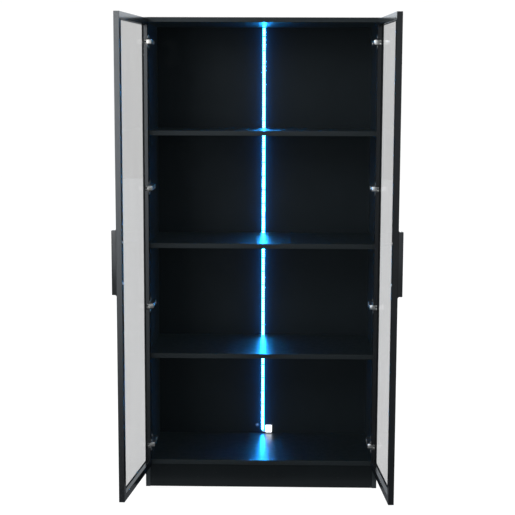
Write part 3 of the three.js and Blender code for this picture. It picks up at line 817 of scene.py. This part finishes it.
FLOOR_SIZE = 30
FLOOR_DROP = 0.0005
FLOOR_LIFT = 0.965
BACKDROP_POWER = 1.02
ROOM_COLOUR = (0.88, 0.94, 1.0, 1)
WHITE = (1, 1, 1, 1)

# The window's direction in degrees, round from straight in front and up from level. It lies to the left in
# the picture, and a little low.
WINDOW_AZIMUTH, WINDOW_ELEVATION = -20.7, -5.0

# Fades of the room's light. Each runs between two values of a direction's y (depth), its z (height) or its
# cosine to the window (angle), and says the brightness at each.
BEHIND_BY_DEPTH = (-0.3, 0.4, 0, 1)
BEHIND_BY_HEIGHT = (-0.12, 0.04, 0.15, 1.35)
FRONT_BY_HEIGHT = (-0.33, 0.1, 0.1, 0.45)
WINDOW_BY_ANGLE = (0.97, 0.993, 0, 1)
WINDOW_BY_HEIGHT = (-0.25, 0.06, 0.15, 3.7)


def seen_directly(tree):
    """1 for what the camera sees, also through glass, and 0 for light and reflections."""
    return node(tree, "ShaderNodeLightPath").outputs["Is Camera Ray"]


def add_floor():
    """A plain pale floor that the glossy boards don't mirror."""
    bm = bmesh.new()
    bmesh.ops.create_grid(bm, x_segments=2, y_segments=2, size=FLOOR_SIZE / 2)
    floor = bpy.data.objects.new("floor", local_mesh(bm))
    floor.location.z = -FLOOR_DROP
    floor.visible_glossy = False
    bpy.context.scene.collection.objects.link(floor)
    material, tree, shader = principled("floor_paint", Base_Color=(0.1, 0.1, 0.1, 1), Roughness=0.9)
    tree.links.new(spread(tree, noise(tree, scale=3), 0.8, 0.95), shader.inputs["Roughness"])
    lift = node(tree, "ShaderNodeEmission", {"Color": WHITE, "Strength": FLOOR_LIFT})
    lit = node(tree, "ShaderNodeAddShader", {0: shader.outputs["BSDF"], 1: lift.outputs["Emission"]})
    both = node(tree, "ShaderNodeMixShader", {
        0: seen_directly(tree), 1: shader.outputs["BSDF"], 2: lit.outputs["Shader"]})
    tree.links.new(both.outputs["Shader"], tree.nodes["Material Output"].inputs["Surface"])
    floor.data.materials.append(material)
    return floor


def add_room():
    """A white backdrop for the camera, and the room that the cabinet's gloss mirrors.

    The room is bright behind the cabinet and dim in front of it and below, but for one tall bright window in
    front and to the left.
    """
    window = Vector((0, -1, 0))
    window.rotate(Matrix.Rotation(math.radians(-WINDOW_ELEVATION), 3, "X"))
    window.rotate(Matrix.Rotation(math.radians(WINDOW_AZIMUTH), 3, "Z"))
    world = bpy.data.worlds.new("studio")
    bpy.context.scene.world = world
    world.use_nodes = True
    tree = world.node_tree
    tree.nodes.clear()
    ray = node(tree, "ShaderNodeTexCoord").outputs["Generated"]
    parts = node(tree, "ShaderNodeSeparateXYZ", {"Vector": ray}).outputs
    towards = node(tree, "ShaderNodeVectorMath", {0: ray, 1: window}, operation="DOT_PRODUCT")
    pane = combined(tree, "MULTIPLY", stepped(tree, towards.outputs["Value"], *WINDOW_BY_ANGLE),
                    stepped(tree, parts["Z"], *WINDOW_BY_HEIGHT))
    behind = combined(tree, "MULTIPLY", stepped(tree, parts["Y"], *BEHIND_BY_DEPTH),
                      stepped(tree, parts["Z"], *BEHIND_BY_HEIGHT))
    front = stepped(tree, parts["Z"], *FRONT_BY_HEIGHT)
    room = combined(tree, "MAXIMUM", combined(tree, "ADD", front, pane), behind)
    light = node(tree, "ShaderNodeBackground", {"Color": ROOM_COLOUR, "Strength": room})
    white = node(tree, "ShaderNodeBackground", {"Color": WHITE, "Strength": BACKDROP_POWER})
    sky = node(tree, "ShaderNodeMixShader", {
        0: seen_directly(tree), 1: light.outputs["Background"], 2: white.outputs["Background"]})
    node(tree, "ShaderNodeOutputWorld", {"Surface": sky.outputs["Shader"]})


def softbox(name, at, target, size, watts, colour=(1, 1, 1), spread_deg=180):
    lamp = bpy.data.lights.new(name, "AREA")
    lamp.shape = "RECTANGLE"
    lamp.size, lamp.size_y = size
    lamp.energy = watts
    lamp.color = colour
    lamp.spread = math.radians(spread_deg)
    made = bpy.data.objects.new(name, lamp)
    made.location = at
    made.rotation_euler = (target - at).to_track_quat("-Z", "Y").to_euler()
    made.visible_camera = False
    bpy.context.scene.collection.objects.link(made)


floor = add_floor()
add_room()

centre = Vector((middle_x, front_y, top_high.z / 2))
softbox("key_softbox", at=centre + Vector((-1.9, -3.6, 2.0)), target=centre + Vector((0, 0, 0.2)),
        size=(1.0, 1.4), watts=45)
softbox("top_softbox", at=centre + Vector((0, 0.4, 2.6)), target=centre, size=(3.0, 2.0), watts=20)

# One low light grazes the toe kick, and a very small one makes the glint on the top left hinge.
low_front = Vector((middle_x, front_y - 0.035, 0.002))
softbox("toe_softbox", at=low_front, target=low_front + Vector((0, 1, 1)), size=(0.8, 0.03), watts=0.045)
top_arm = Vector((inside_x["left"] + 0.008, front_y - 0.01, 1.524))
softbox("hinge_sparkle", at=top_arm + Vector((-0.012, -0.2, 0.014)), target=top_arm, size=(0.02, 0.02),
        watts=0.0003, spread_deg=12)

# The strip's glow on the back panel, from two bars that face it: name, distance off it, width and power.
GLOW_COLOUR = (0.0, 0.28, 1.0)
GLOW_BARS = (("near_glow", 0.01, 0.004, 0.85), ("far_glow", 0.04, 0.01, 0.7))
strip_middle = Vector((strip_x, strip_high.y, (strip_low.z + strip_high.z) / 2))
for name, off, wide, watts in GLOW_BARS:
    softbox(name, at=strip_middle - Vector((0, off, 0)), target=strip_middle,
            size=(wide, strip_high.z - strip_low.z), watts=watts, colour=GLOW_COLOUR)


# ------------------------------------------------------------------- camera
# The camera is placed from the middle of the carcass's front plane, and its height from the floor, in metres.
# Angles are in degrees. The sensor and the focal length are in mm.

CAMERA_OFFSET = (0.0648, -4.1295)
CAMERA_HEIGHT = 1.3647
YAW, PITCH, ROLL = 1.1023, 7.7182, 0.1981
SENSOR = 36
FOCAL = 86.034

lens = bpy.data.cameras.new("camera")
lens.sensor_width = SENSOR
lens.lens = FOCAL
camera = bpy.data.objects.new("camera", lens)
turn = (Matrix.Rotation(math.radians(YAW), 4, "Z") @ Matrix.Rotation(math.radians(90 - PITCH), 4, "X")
        @ Matrix.Rotation(math.radians(ROLL), 4, "Z"))
camera.matrix_world = Matrix.Translation(
    (middle_x + CAMERA_OFFSET[0], front_y + CAMERA_OFFSET[1], CAMERA_HEIGHT)) @ turn
bpy.context.scene.collection.objects.link(camera)
bpy.context.scene.camera = camera
bpy.context.scene.view_settings.view_transform = "Standard"
